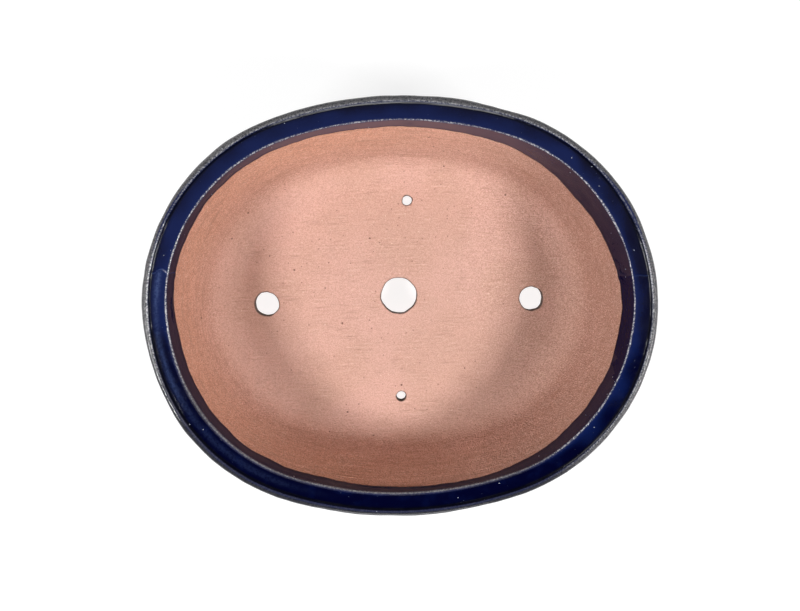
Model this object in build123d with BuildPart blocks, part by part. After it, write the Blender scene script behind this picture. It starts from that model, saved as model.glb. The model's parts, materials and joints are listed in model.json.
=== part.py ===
"""Oval glazed bonsai pot, built up the way a potter luting slabs together builds it.

The floor is a bevelled slab. The bowed wall and the lip that caps it are each two strips that meet
at the ends of the pot, four cloud feet are luted under the corners, and one coat of glass glaze
runs from just inside the lip, over it, down the outside of the wall and over the faces of the feet.

Frame: +Z up, +X along the length, +Y to the rear. The origin is on the ground under the middle.
Units: millimetres.
"""

import math
import os

from build123d import *

# Overall size, over the glaze.
LENGTH = 256.0
WIDTH = 209.0
HEIGHT = 80.0
END_RADIUS = 100.0  # plan radius of the lip round each end of the oval

# Clay and glaze thicknesses.
WALL_THICKNESS = 8.0
FLOOR_THICKNESS = 8.0
GLAZE_THICKNESS = 0.6

# Wall: it leans outwards as it rises, and turns into the floor in a wide curve.
WALL_LEAN = 18.0  # degrees from upright
INNER_CORNER_RADIUS = 20.0
OUTER_CORNER_RADIUS = 18.0
FLOOR_EDGE_TOP = 46.5  # how far in from the rim the slab's bevelled edge meets the wall, on top
FLOOR_EDGE_BOTTOM = 42.0  # and underneath

# Lip: a shallow channel between two ridges, on an outer band that overhangs the wall.
LIP_WIDTH = 11.6  # outermost edge to inner ridge
LIP_BAND_BOTTOM = 70.2  # height of the band's lower corner
LIP_ROUNDING = 1.9  # outer top corner
LIP_LOWER_ROUNDING = 1.6
CHANNEL_DEPTH = 1.5
CHANNEL_FLOOR = 5.2  # how far in from the rim the channel is deepest
LIP_JOINT_HEIGHT = 66.0
LIP_KEY = 3.0  # height of the ridge on the wall's top edge that keys into the lip

# Feet: each spans an arc of the end curve.
FOOT_HEIGHT = 10.0  # clear height under the floor
FOOT_TOP = 14.0  # where a foot's outer face dies into the wall's lower curve
FOOT_ANGLE = 47.0  # from the pot's long axis, round the end curve's centre
FOOT_SPAN = 34.0  # degrees of that curve
FOOT_TOE = 30.5  # how far in from the rim the foot's outer face meets the ground
FOOT_HEEL = 45.0  # and its inner face
FOOT_HEEL_DRAFT = 1.5  # how far the inner face leans back as it rises
FOOT_SCALLOP = 6.0  # radius of the hollow at each end of a foot
FOOT_NOTCH_WIDTH = 9.0  # of the shallow arch under a foot's middle
FOOT_NOTCH_HEIGHT = 2.2

# Glaze edges.
GLAZE_LINE_INSIDE = 71.0  # height where the glaze stops on the inside of the wall
GLAZE_LINE_OUTSIDE = 14.6  # and low on the outside, just above the feet
GLAZE_LINE_FOOT = 3.0  # and on a foot's outer face, wiped clear of the ground
GLAZE_CLEARANCE = 1.2  # past the skin, for the outline that bounds its section

# Holes through the floor. They are punched by hand, a little off the axes.
CENTRE_HOLE = (0.0, 2.0)
CENTRE_HOLE_RADIUS = 9.5
SIDE_HOLES = ((-71.0, -1.0), (71.0, -1.0))
SIDE_HOLE_RADIUS = 6.3
WIRE_HOLES = ((5.5, 53.0), (0.0, -52.5))
WIRE_HOLE_RADIUS = 2.5
HOLE_EDGE = 0.5  # softened edge at each mouth

# Joints between the two wall strips, a little behind the long axis at both ends.
SEAM_LEFT_Y = 20.0
SEAM_RIGHT_Y = 13.5

# Plan of the rim: an oval of four tangent arcs. An arc's offset has the same centre, so a section
# turned about the four centres keeps its shape all the way round.
half_length = LENGTH / 2
half_width = WIDTH / 2
end_centre = half_length - END_RADIUS
side_radius = (end_centre**2 + half_width**2 - END_RADIUS**2) / (2 * (half_width - END_RADIUS))
side_centre = side_radius - half_width
joint_angle = math.degrees(math.atan2(side_centre, end_centre))

OVAL_ARCS = (  # centre x, centre y, radius, start angle, angle swept
    (end_centre, 0, END_RADIUS, -joint_angle, 2 * joint_angle),
    (0, -side_centre, side_radius, joint_angle, 180 - 2 * joint_angle),
    (-end_centre, 0, END_RADIUS, 180 - joint_angle, 2 * joint_angle),
    (0, side_centre, side_radius, 180 + joint_angle, 180 - 2 * joint_angle),
)

# Sections are drawn with x = minus the distance in from the rim, and y = height.
lean = math.tan(math.radians(WALL_LEAN))
wall_run = WALL_THICKNESS / math.cos(math.radians(WALL_LEAN))
floor_bottom = FOOT_HEIGHT
floor_top = FOOT_HEIGHT + FLOOR_THICKNESS
ridge_height = HEIGHT - GLAZE_THICKNESS


def inner_face(height):
    """Section point on the wall's inner face."""
    return (-LIP_WIDTH - (ridge_height - height) * lean, height)


def outer_face(height):
    """Section point on the wall's outer face."""
    return (inner_face(height)[0] + wall_run, height)


def radial_plane(centre_x, centre_y, angle):
    """Upright plane through an arc's centre: its x runs outwards at that angle, its y is up."""
    turn = math.radians(angle)
    return Plane(
        origin=(centre_x, centre_y, 0),
        x_dir=(math.cos(turn), math.sin(turn), 0),
        z_dir=(math.sin(turn), -math.cos(turn), 0),
    )


def run_section(section, centre_x, centre_y, radius, start, swept):
    """Turns a section about one arc's centre, adding it to the part being built."""
    with BuildSketch(radial_plane(centre_x, centre_y, start)) as placed:
        with Locations((radius, 0)):
            add(section)
    revolve(placed.sketch, axis=Axis((centre_x, centre_y, 0), (0, 0, 1)), revolution_arc=swept)


def run_round_the_oval(section):
    for arc in OVAL_ARCS:
        run_section(section, *arc)


def oval(inset):
    """The rim's outline moved in by that distance, as a face."""
    with BuildSketch() as outline:
        with BuildLine():
            for centre_x, centre_y, radius, start, swept in OVAL_ARCS:
                CenterArc((centre_x, centre_y), radius - inset, start, swept)
        make_face()
    return outline.sketch


# Sections ------------------------------------------------------------------------------------

joint_middle = (inner_face(LIP_JOINT_HEIGHT)[0] + outer_face(LIP_JOINT_HEIGHT)[0]) / 2
key_top = (joint_middle, LIP_JOINT_HEIGHT + LIP_KEY)

with BuildSketch() as wall_section:
    with BuildLine():
        Polyline(
            inner_face(LIP_JOINT_HEIGHT),
            inner_face(floor_top),
            (-FLOOR_EDGE_TOP, floor_top),
            (-FLOOR_EDGE_BOTTOM, floor_bottom),
            outer_face(floor_bottom),
            outer_face(LIP_JOINT_HEIGHT),
            key_top,
            close=True,
        )
    make_face()
    fillet(wall_section.vertices().sort_by_distance(outer_face(floor_bottom))[0], OUTER_CORNER_RADIUS)
    fillet(wall_section.vertices().sort_by_distance(inner_face(floor_top))[0], INNER_CORNER_RADIUS)

with BuildSketch() as lip_section:
    outer_ridge = (-GLAZE_THICKNESS - LIP_ROUNDING, ridge_height)
    inner_ridge = (-LIP_WIDTH, ridge_height)
    channel_floor = (-CHANNEL_FLOOR, ridge_height - CHANNEL_DEPTH)
    band_top = (-GLAZE_THICKNESS, ridge_height - LIP_ROUNDING)
    with BuildLine():
        CenterArc((outer_ridge[0], band_top[1]), LIP_ROUNDING, 0, 90)
        TangentArc(channel_floor, outer_ridge, tangent=(1, 0))
        TangentArc(channel_floor, inner_ridge, tangent=(-1, 0))
        Polyline(
            inner_ridge,
            inner_face(LIP_JOINT_HEIGHT),
            key_top,
            outer_face(LIP_JOINT_HEIGHT),
            (-GLAZE_THICKNESS, LIP_BAND_BOTTOM),
            band_top,
        )
    make_face()
    band_corner = lip_section.vertices().group_by(Axis.X)[-1].sort_by(Axis.Y)[0]
    fillet(band_corner, LIP_LOWER_ROUNDING)

# The wall's lower outer curve, which the feet are shaped to.
corner_run = OUTER_CORNER_RADIUS * math.tan(math.radians((90 - WALL_LEAN) / 2))
corner_centre = (outer_face(floor_bottom)[0] - corner_run, floor_bottom + OUTER_CORNER_RADIUS)


def on_lower_curve(height):
    """Section point on the outer face's lower curve."""
    drop = corner_centre[1] - height
    return (corner_centre[0] + math.sqrt(OUTER_CORNER_RADIUS**2 - drop**2), height)


curve_start = (corner_centre[0], floor_bottom)
with BuildSketch() as foot_section:
    with BuildLine():
        RadiusArc(on_lower_curve(FOOT_TOP), curve_start, OUTER_CORNER_RADIUS)
        Polyline(
            curve_start,
            (-FOOT_HEEL + FOOT_HEEL_DRAFT, floor_bottom),
            (-FOOT_HEEL, 0),
            (-FOOT_TOE, 0),
            on_lower_curve(FOOT_TOP),
        )
    make_face()


def skin_over(clay, stretch):
    """The glaze on the outline of some clay, kept to the stretch inside a closed run of points."""
    with BuildSketch() as skin:
        add(clay)
        offset(amount=GLAZE_THICKNESS, kind=Kind.ARC)
        add(clay, mode=Mode.SUBTRACT)
        with BuildLine() as outline:
            Polyline(*stretch, close=True)
        make_face(outline.line, mode=Mode.INTERSECT)
    return skin.sketch


# Each stretch is closed through the heart of the clay.
inside_line = inner_face(GLAZE_LINE_INSIDE)
outside_line = outer_face(GLAZE_LINE_OUTSIDE)
glaze_section = skin_over(
    lip_section.sketch + wall_section.sketch,
    (
        (GLAZE_CLEARANCE, GLAZE_LINE_OUTSIDE),
        (GLAZE_CLEARANCE, HEIGHT + GLAZE_CLEARANCE),
        (inside_line[0] - GLAZE_CLEARANCE, HEIGHT + GLAZE_CLEARANCE),
        (inside_line[0] - GLAZE_CLEARANCE, GLAZE_LINE_INSIDE),
        (inside_line[0] + wall_run / 2, GLAZE_LINE_INSIDE),
        (outside_line[0] - wall_run / 2, GLAZE_LINE_OUTSIDE),
    ),
)
foot_glaze_section = skin_over(
    foot_section.sketch + wall_section.sketch,
    (
        (GLAZE_CLEARANCE, GLAZE_LINE_FOOT),
        (GLAZE_CLEARANCE, GLAZE_LINE_OUTSIDE),
        (curve_start[0], GLAZE_LINE_OUTSIDE),
        (curve_start[0], GLAZE_LINE_FOOT),
    ),
)

# Clay pieces ---------------------------------------------------------------------------------

holes = (
    [(CENTRE_HOLE, CENTRE_HOLE_RADIUS)]
    + [(place, SIDE_HOLE_RADIUS) for place in SIDE_HOLES]
    + [(place, WIRE_HOLE_RADIUS) for place in WIRE_HOLES]
)

with BuildPart() as floor_slab:
    with BuildSketch(Plane.XY.offset(floor_bottom)):
        add(oval(FLOOR_EDGE_BOTTOM))
    with BuildSketch(Plane.XY.offset(floor_top)):
        add(oval(FLOOR_EDGE_TOP))
    loft(ruled=True)
    with BuildSketch(Plane.XY.offset(floor_top)):
        for place, radius in holes:
            with Locations(place):
                Circle(radius)
    extrude(amount=-FLOOR_THICKNESS, mode=Mode.SUBTRACT)
    hole_edges = [edge for edge in floor_slab.edges().filter_by(GeomType.CIRCLE) if edge.is_closed]
    chamfer(hole_edges, HOLE_EDGE)

seam_slope = (SEAM_RIGHT_Y - SEAM_LEFT_Y) / LENGTH
seam_plane = Plane(
    origin=(0, (SEAM_LEFT_Y + SEAM_RIGHT_Y) / 2, 0),
    x_dir=(1, seam_slope, 0),
    z_dir=(-seam_slope, 1, 0),
)


def strips(section):
    """Front and rear strips of a section that runs right round the pot."""
    halves = []
    for side in (Keep.BOTTOM, Keep.TOP):
        with BuildPart() as strip:
            run_round_the_oval(section)
            split(bisect_by=seam_plane, keep=side)
        halves.append(strip)
    return halves


wall_front, wall_rear = strips(wall_section.sketch)
lip_front, lip_rear = strips(lip_section.sketch)


def run_foot(section, side, end):
    """Turns a section over one foot's span and cuts the cloud outline out of it.

    side is -1 at the front and 1 at the rear, end is -1 at the left.
    """
    centre_x = end * end_centre
    turn = math.radians(FOOT_ANGLE)
    middle = math.degrees(math.atan2(side * math.sin(turn), end * math.cos(turn)))
    run_section(section, centre_x, 0, END_RADIUS, middle - FOOT_SPAN / 2, FOOT_SPAN)
    outwards = radial_plane(centre_x, 0, middle)
    facing = Plane(origin=outwards.origin, x_dir=outwards.z_dir, z_dir=outwards.x_dir)
    foot_end = (END_RADIUS - FOOT_TOE) * math.sin(math.radians(FOOT_SPAN / 2))
    with BuildSketch(facing) as outline:
        with Locations((-foot_end, 0), (foot_end, 0)):
            Circle(FOOT_SCALLOP)
        Ellipse(FOOT_NOTCH_WIDTH / 2, FOOT_NOTCH_HEIGHT)
    extrude(outline.sketch, amount=END_RADIUS, mode=Mode.SUBTRACT)


FOOT_CORNERS = {
    "foot_front_left": (-1, -1),
    "foot_front_right": (-1, 1),
    "foot_rear_left": (1, -1),
    "foot_rear_right": (1, 1),
}
feet = {}
for name, corner in FOOT_CORNERS.items():
    with BuildPart() as foot:
        run_foot(foot_section.sketch, *corner)
    feet[name] = foot

# Glaze: one coat, thin and unbroken round the pot and down over the feet ----------------------------

with BuildPart() as glaze_coat:
    run_round_the_oval(glaze_section)
    for corner in FOOT_CORNERS.values():
        run_foot(foot_glaze_section, *corner)

pieces = {
    "floor_slab": floor_slab,
    "wall_front": wall_front,
    "wall_rear": wall_rear,
    "lip_front": lip_front,
    "lip_rear": lip_rear,
    **feet,
    "glaze_coat": glaze_coat,
}

os.makedirs("parts", exist_ok=True)
for name, piece in pieces.items():
    piece.part.label = name
    export_step(piece.part, f"parts/{name}.step")
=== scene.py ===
"""The looks of an oval bonsai pot: bare clay pieces under one coat of blue glaze, on a pale table.

A place on the pot is given by three numbers: theta, the outward direction round the oval; out, the
distance outwards from the rim's edge, which is negative on the pot; and up, the height. The pieces
stand for the CAD nodes and lie where they are. Metres; +X along the length, +Y to the rear.
"""

import json
import math

import bpy
import numpy as np
from mathutils import Matrix, Vector
from mathutils.geometry import delaunay_2d_cdt


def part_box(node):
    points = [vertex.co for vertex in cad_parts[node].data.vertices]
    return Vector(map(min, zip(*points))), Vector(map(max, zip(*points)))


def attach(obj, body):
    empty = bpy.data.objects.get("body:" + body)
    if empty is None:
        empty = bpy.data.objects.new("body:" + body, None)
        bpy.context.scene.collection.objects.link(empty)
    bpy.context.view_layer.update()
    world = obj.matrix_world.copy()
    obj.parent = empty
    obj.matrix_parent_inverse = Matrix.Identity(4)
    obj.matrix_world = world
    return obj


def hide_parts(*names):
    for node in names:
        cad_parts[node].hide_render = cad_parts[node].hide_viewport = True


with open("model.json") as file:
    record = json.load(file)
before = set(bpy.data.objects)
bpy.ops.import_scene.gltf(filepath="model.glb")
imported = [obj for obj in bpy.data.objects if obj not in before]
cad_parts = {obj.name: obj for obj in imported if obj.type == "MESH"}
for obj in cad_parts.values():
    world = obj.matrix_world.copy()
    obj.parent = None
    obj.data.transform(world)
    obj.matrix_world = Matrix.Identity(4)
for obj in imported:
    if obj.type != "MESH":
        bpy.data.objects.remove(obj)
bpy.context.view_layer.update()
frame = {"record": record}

MM = 0.001
FINE = 0.1 * MM  # steps along the path of a section

# Sizes from the frame.
HALF_LENGTH, HALF_WIDTH, RIM_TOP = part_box("glaze_coat")[1]
FLOOR_BOTTOM, FLOOR_TOP = (corner.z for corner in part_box("floor_slab"))
LIP_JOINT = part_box("lip_front")[0].z
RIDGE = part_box("lip_front")[1].z
FOOT_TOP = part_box("foot_front_left")[1].z
HOLES = [  # (x, y, radius) of each hole through the floor
    (mount["pos_m"][0], mount["pos_m"][1], mount["dims"]["r_mm"] * MM)
    for mount in frame["record"]["mounts"]
    if mount["kind"] == "bore"
]

# Sizes of the design that the frame doesn't give. Those below zero are distances out from the rim.
END_RADIUS = 100 * MM
LEAN_DEGREES = 18
LEAN_ANGLE = math.radians(LEAN_DEGREES)
LEAN = math.tan(LEAN_ANGLE)
WALL_THICKNESS = 8 * MM
WALL_RUN = WALL_THICKNESS / math.cos(LEAN_ANGLE)  # across the wall on the level
INNER_CORNER = 20 * MM
OUTER_CORNER = 18 * MM
FLOOR_EDGE_TOP = -46.5 * MM
FLOOR_EDGE_BOTTOM = -42 * MM
INNER_EDGE = -11.6 * MM
INNER_RIDGE_DROP = 0.6 * MM
OUTER_CREST = -2.5 * MM
OUTER_EDGE = -0.6 * MM
CREST_ROUNDING = 1.9 * MM
FLANK_ROUNDING = 1.1 * MM
FLANK_SLOPE = 55  # degrees
CHANNEL_DEPTH = 1.5 * MM
BAND_BOTTOM = 70.2 * MM
KEY_HEIGHT = 3 * MM
FOOT_ANGLE = math.radians(47)
FOOT_HALF_SPAN = math.radians(17)
FOOT_TOE = -30.5 * MM
FOOT_HEEL = -45 * MM
FOOT_HEEL_TOP = -43.5 * MM
FOOT_SHOULDER = -27.5 * MM
FOOT_SCALLOP = 6 * MM
FOOT_ARCH_HALF_WIDTH = 4.5 * MM
FOOT_ARCH_HEIGHT = 2.2 * MM
FOOT_ROUNDING = 1.3 * MM
FOOT_BEDDING = 0.3 * MM  # how far a foot is bedded into the slip
FOOT_SPACING = 0.15 * MM
LOWER_WALL = 26 * MM  # where the finer rows of the wall's lower curve begin
UNDER_GLAZE = 0.15 * MM  # how far the clay is held back under the glaze
SEAM_LEFT_Y = 20 * MM
SEAM_RIGHT_Y = 13.5 * MM

# Plan of the rim: four tangent arcs.
END_CENTRE = HALF_LENGTH - END_RADIUS
SIDE_RADIUS = (END_CENTRE**2 + HALF_WIDTH**2 - END_RADIUS**2) / (2 * (HALF_WIDTH - END_RADIUS))
SIDE_CENTRE = SIDE_RADIUS - HALF_WIDTH
ARC_JOINT = math.atan2(SIDE_CENTRE, END_CENTRE)


# --- Places on the pot ---


def smooth_step(low, high, value):
    share = np.clip((value - low) / (high - low), 0, 1)
    return share * share * (3 - 2 * share)


def bump_at(value, middle, width):
    """A smooth bump of height 1."""
    return np.exp(-(((value - middle) / width) ** 2))


def bump_round(theta, middle, width):
    """A smooth bump of height 1 round the pot, its middle and width in degrees."""
    apart = (np.degrees(theta) - middle + 180) % 360 - 180
    return bump_at(apart, 0, width)


def warp(theta, up):
    """How far outwards the rim has moved from the drawn oval in drying: it is pushed in at the left."""
    moved = -1.1 * MM * bump_round(theta, 193, 20)
    return moved * smooth_step(0.3 * RIM_TOP, 0.95 * RIM_TOP, up)


def widen(theta, out, up):
    """How far outwards the inner side of the lip has moved: it is wider at the front corners."""
    moved = -(0.25 + 0.5 * bump_round(theta, 218, 38) + 0.4 * bump_round(theta, 330, 24)) * MM
    in_lip = smooth_step(-6 * MM, -11 * MM, out) * smooth_step(0.75 * RIM_TOP, 0.97 * RIM_TOP, up)
    return moved * in_lip


def place(theta, out, up):
    """Points at those outward directions, distances out from the rim and heights."""
    theta, out, up = np.broadcast_arrays(theta, out, up)
    out = out + warp(theta, up) + widen(theta, out, up)
    across, along = np.sin(theta), np.cos(theta)
    turned = np.abs(np.arctan2(across, along))
    at_end = (turned <= ARC_JOINT) | (turned >= math.pi - ARC_JOINT)
    centre_x = np.where(at_end, np.sign(along) * END_CENTRE, 0)
    centre_y = np.where(at_end, 0, -np.sign(across) * SIDE_CENTRE)
    reach = np.where(at_end, END_RADIUS, SIDE_RADIUS) + out
    return np.stack([centre_x + reach * along, centre_y + reach * across, up], -1)


def even_directions(first, last, spacing, crowded=None):
    """Directions from first to last, evenly spaced along the rim, or closer where it is crowded."""
    fine = np.linspace(first, last, 8001)
    steps = np.linalg.norm(np.diff(place(fine, 0, 0), axis=0), axis=1)
    if crowded is not None:
        steps *= 1 + crowded((fine[1:] + fine[:-1]) / 2)
    walked = np.concatenate([[0], np.cumsum(steps)])
    count = int(round(walked[-1] / spacing)) + 1
    return np.interp(np.linspace(0, walked[-1], count), walked, fine)


def seam_direction(end, out):
    """Where the joint between two strips is at one end of the pot: end is 1 on the right."""
    slope = (SEAM_RIGHT_Y - SEAM_LEFT_Y) / (2 * HALF_LENGTH)
    middle = (SEAM_RIGHT_Y + SEAM_LEFT_Y) / 2
    reach = (END_RADIUS + out) * math.sqrt(1 + slope**2)
    turn = end * math.atan(slope) + np.arcsin((middle + end * slope * END_CENTRE) / reach)
    return turn if end > 0 else math.pi - turn


def past_seam(theta, out):
    """Distance round the pot from the nearer joint: positive on the rear side."""
    on_right = np.cos(theta) > 0
    turned = np.where(on_right, np.arctan2(np.sin(theta), np.cos(theta)), theta % (2 * math.pi))
    right = turned - seam_direction(1, out)
    left = seam_direction(-1, out) - turned
    return np.where(on_right, right, left) * (END_RADIUS + out)


# --- Sections: runs of (out, up) points, with the clay on the right hand ---


def line(start, end, spacing=FINE):
    count = max(2, int(math.dist(start, end) / spacing + 1.5))
    return np.linspace(start, end, count)


def arc(centre, radius, start, end):
    """Points on an arc, from one angle to another in degrees."""
    swept = math.radians(end - start)
    count = max(3, int(abs(swept) * radius / FINE + 1.5))
    angles = math.radians(start) + np.linspace(0, swept, count)
    return np.array(centre) + radius * np.stack([np.cos(angles), np.sin(angles)], 1)


def chain(*runs):
    """Joins runs end to end, without the doubled points."""
    return np.concatenate([runs[0]] + [run[1:] for run in runs[1:]])


def walked_along(path):
    return np.concatenate([[0], np.cumsum(np.linalg.norm(np.diff(path, axis=0), axis=1))])


def at_distance(path, distances):
    """Points of a path at those distances along it."""
    walked = walked_along(path)
    return np.stack([np.interp(distances, walked, path[:, axis]) for axis in (0, 1)], -1)


def soften(path, radius):
    """The path, evenly spaced, with its corners worn to about that radius."""
    length = walked_along(path)[-1]
    even = at_distance(path, np.linspace(0, length, int(length / FINE) + 1))
    reach = int(3 * radius / FINE)
    weights = np.exp(-0.5 * (np.arange(-reach, reach + 1) * FINE / radius) ** 2)
    weights /= weights.sum()
    start = 2 * even[0] - even[reach:0:-1]
    end = 2 * even[-1] - even[-2 : -reach - 2 : -1]
    padded = np.concatenate([start, even, end])
    return np.stack([np.convolve(padded[:, axis], weights, "valid") for axis in (0, 1)], 1)


def left_normals(path):
    step = np.gradient(path, axis=0)
    normal = np.stack([-step[:, 1], step[:, 0]], 1)
    return normal / np.linalg.norm(normal, axis=1, keepdims=True)


def inner_face(up):
    return INNER_EDGE - (RIDGE - up) * LEAN


def outer_face(up):
    return inner_face(up) + WALL_RUN


# The wall's two lower curves.
inner_tangent = INNER_CORNER * math.tan((math.pi / 2 - LEAN_ANGLE) / 2)
inner_curve_centre = (inner_face(FLOOR_TOP) - inner_tangent, FLOOR_TOP + INNER_CORNER)
outer_tangent = OUTER_CORNER * math.tan((math.pi / 2 - LEAN_ANGLE) / 2)
outer_curve_centre = (outer_face(FLOOR_BOTTOM) - outer_tangent, FLOOR_BOTTOM + OUTER_CORNER)

# The skin of the clay, from the floor's edge up the inside, over the lip and down to the underside.
inner_ridge_up = RIDGE - INNER_RIDGE_DROP
INNER_RIDGE = inner_face(inner_ridge_up)
channel_up = RIDGE - CHANNEL_DEPTH
flank = math.radians(FLANK_SLOPE)
flank_top = (OUTER_CREST - FLANK_ROUNDING * math.sin(flank), RIDGE - FLANK_ROUNDING * (1 - math.cos(flank)))
CHANNEL = flank_top[0] - (flank_top[1] - channel_up) / math.tan(flank)
inner_run = chain(
    line((FLOOR_EDGE_TOP, FLOOR_TOP), (inner_curve_centre[0], FLOOR_TOP)),
    arc(inner_curve_centre, INNER_CORNER, -90, -LEAN_DEGREES),
    line((inner_face(40 * MM), 40 * MM), (INNER_RIDGE, inner_ridge_up)),
)
lip_run = chain(
    line((INNER_RIDGE, inner_ridge_up), (CHANNEL, channel_up)),
    line((CHANNEL, channel_up), flank_top),
    arc((OUTER_CREST, RIDGE - FLANK_ROUNDING), FLANK_ROUNDING, 90 + FLANK_SLOPE, 90),
    arc((OUTER_CREST, RIDGE - CREST_ROUNDING), CREST_ROUNDING, 90, 0),
    line((OUTER_EDGE, RIDGE - CREST_ROUNDING), (OUTER_EDGE, BAND_BOTTOM + 1.2 * MM)),
    line((OUTER_EDGE - 0.6 * MM, BAND_BOTTOM - 0.2 * MM), (outer_face(LIP_JOINT), LIP_JOINT)),
)
outer_run = chain(
    line((outer_face(LIP_JOINT), LIP_JOINT), (outer_face(30 * MM), 30 * MM)),
    arc(outer_curve_centre, OUTER_CORNER, -LEAN_DEGREES, -90),
    line((outer_curve_centre[0], FLOOR_BOTTOM), (FLOOR_EDGE_BOTTOM, FLOOR_BOTTOM)),
)
skin = soften(chain(inner_run, lip_run, outer_run), 0.3 * MM)
skin_walked = walked_along(skin)


def nearest_on_skin(out, up):
    """How far along the skin the point nearest to that one is."""
    return skin_walked[np.argmin(np.hypot(skin[:, 0] - out, skin[:, 1] - up))]


at_joint_inside = nearest_on_skin(inner_face(LIP_JOINT), LIP_JOINT)
at_inner_ridge = nearest_on_skin(INNER_RIDGE, inner_ridge_up)
at_channel = nearest_on_skin(CHANNEL, channel_up)
at_crest = nearest_on_skin(OUTER_CREST, RIDGE)
at_band_top = nearest_on_skin(OUTER_EDGE, RIDGE - CREST_ROUNDING)
at_band_bottom = nearest_on_skin(OUTER_EDGE, BAND_BOTTOM)
at_joint_outside = nearest_on_skin(outer_face(LIP_JOINT), LIP_JOINT)
at_lower_wall = nearest_on_skin(outer_face(LOWER_WALL), LOWER_WALL)
at_free_line = nearest_on_skin(outer_curve_centre[0] + 11 * MM, 13.6 * MM)
at_foot_top = nearest_on_skin(FOOT_SHOULDER, FOOT_TOP)


def along_path(path, distances):
    """(out, up, normal out, normal up) at distances along a path."""
    columns = np.concatenate([path, left_normals(path)], 1).T
    walked = walked_along(path)
    return np.stack([np.interp(distances, walked, column) for column in columns], -1)


def on_skin(distances):
    return along_path(skin, distances)


# --- Unevenness ---


def ripple(points, size, seed, waves=28):
    """Smooth random unevenness of about unit height, with features of that size."""
    rng = np.random.default_rng(seed)
    directions = rng.normal(size=(waves, 3))
    directions /= np.linalg.norm(directions, axis=1, keepdims=True)
    turns = 2 * math.pi / (2 * size * rng.uniform(0.7, 1.6, waves))
    phases = rng.uniform(0, 2 * math.pi, waves)
    return np.sin(points @ (directions * turns[:, None]).T + phases).sum(-1) * math.sqrt(2 / waves)


def relief(points):
    """How far the clay stands proud of the drawn surface."""
    pressed = 0.11 * MM * ripple(points, 16 * MM, 11)
    scraped = 0.035 * MM * ripple(points, 5 * MM, 12)
    gritty = 0.012 * MM * ripple(points, 1.8 * MM, 13)
    return pressed + scraped + gritty


def handmade(points):
    """The whole pot's gentle departure from true, kept inside the drawn size."""
    drift = np.stack([ripple(points * (1, 1, 0.3), 55 * MM, seed) for seed in (21, 22, 23)], -1)
    drift *= 0.05 * MM * points[..., 2:] / RIM_TOP
    margin = np.array([0.13, 0.13, 0.12]) * MM / np.array([HALF_LENGTH, HALF_WIDTH, RIM_TOP])
    return points * (1 - margin) + drift


# --- Meshes ---


def unit_circle(count):
    turns = np.linspace(0, 2 * math.pi, count, endpoint=False)
    return np.stack([np.cos(turns), np.sin(turns), np.zeros(count)], 1)


def add_object(name, data):
    added = bpy.data.objects.new(name, data)
    bpy.context.scene.collection.objects.link(added)
    return added


def make_piece(name, points, faces, attributes=None):
    """A smooth-shaded mesh object from points and faces, with one value a point for each attribute."""
    mesh = bpy.data.meshes.new(name)
    mesh.from_pydata(handmade(points).tolist(), [], faces)
    mesh.update()
    mesh.polygons.foreach_set("use_smooth", np.ones(len(mesh.polygons), bool))
    mesh.set_sharp_from_angle(angle=math.radians(32))
    for key, values in (attributes or {}).items():
        layer = mesh.attributes.new(key, "FLOAT", "POINT")
        layer.data.foreach_set("value", np.asarray(values, np.float32).ravel())
    return add_object(name, mesh)


def grid_faces(columns, rows, closed_round):
    """Quads over a grid of columns round the pot, each a closed loop of rows."""
    column = np.arange(columns if closed_round else columns - 1)[:, None]
    row = np.arange(rows)[None, :]
    next_column, next_row = (column + 1) % columns, (row + 1) % rows
    corners = (column * rows + row, column * rows + next_row,
               next_column * rows + next_row, next_column * rows + row)
    return np.stack(np.broadcast_arrays(*corners), -1).reshape(-1, 4)


def capped_grid(columns, rows):
    """Faces of a grid whose first and last columns are filled in."""
    first = list(range(rows - 1, -1, -1))
    last = list(range((columns - 1) * rows, columns * rows))
    return grid_faces(columns, rows, False).tolist() + [first, last]


def section_of(*runs):
    """One closed section of (out, up, normal out, normal up) rows, its runs joined end to end."""
    return np.concatenate([run[:-1] for run in runs])


def hidden_run(*corners):
    """A run on faces that another piece covers: its points have no normal, so they take no relief."""
    path = chain(*[line(a, b, 2 * MM) for a, b in zip(corners, corners[1:])])
    return np.concatenate([path, np.zeros_like(path)], 1)


def skin_run(first, last, spacing, sunk_from=None, sunk_to=None):
    """A run of the clay's skin. Between sunk_from and sunk_to it lies a little under the glaze."""
    distances = np.linspace(first, last, int((last - first) / spacing + 1.5))
    rows = on_skin(distances)
    if sunk_from is not None:
        sink = np.interp(distances, [sunk_from, sunk_from + 2 * MM, sunk_to - 2 * MM, sunk_to],
                         [0, UNDER_GLAZE, UNDER_GLAZE, 0])
        rows[:, :2] -= rows[:, 2:] * sink[:, None]
    return rows


def in_space(theta, section):
    """The normals of a section's rows, turned to those outward directions."""
    theta, out, up = np.broadcast_arrays(theta, section[..., 2], section[..., 3])
    return np.stack([np.cos(theta) * out, np.sin(theta) * out, up], -1)


STRIP_SPACING = 1.0 * MM


def strip(name, section, first_end, last_end):
    """A strip of wall or lip: its section, run from the joint at one end of the pot to the other."""
    def ends(out):
        first = seam_direction(first_end, out)
        last = seam_direction(last_end, out)
        return (first, last) if last_end < 0 else (first - 2 * math.pi, last)

    base_first, base_last = ends(0)
    base = even_directions(base_first, base_last, STRIP_SPACING)
    share = ((base - base_first) / (base_last - base_first))[:, None]
    first, last = (end[None, :] for end in ends(section[:, 0]))
    theta = base[:, None] + (first - base_first) * (1 - share) + (last - base_last) * share
    points = place(theta, section[:, 0], section[:, 1])
    points = points + in_space(theta, section) * relief(points)[..., None]
    return make_piece(name, points.reshape(-1, 3), capped_grid(*theta.shape))


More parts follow.
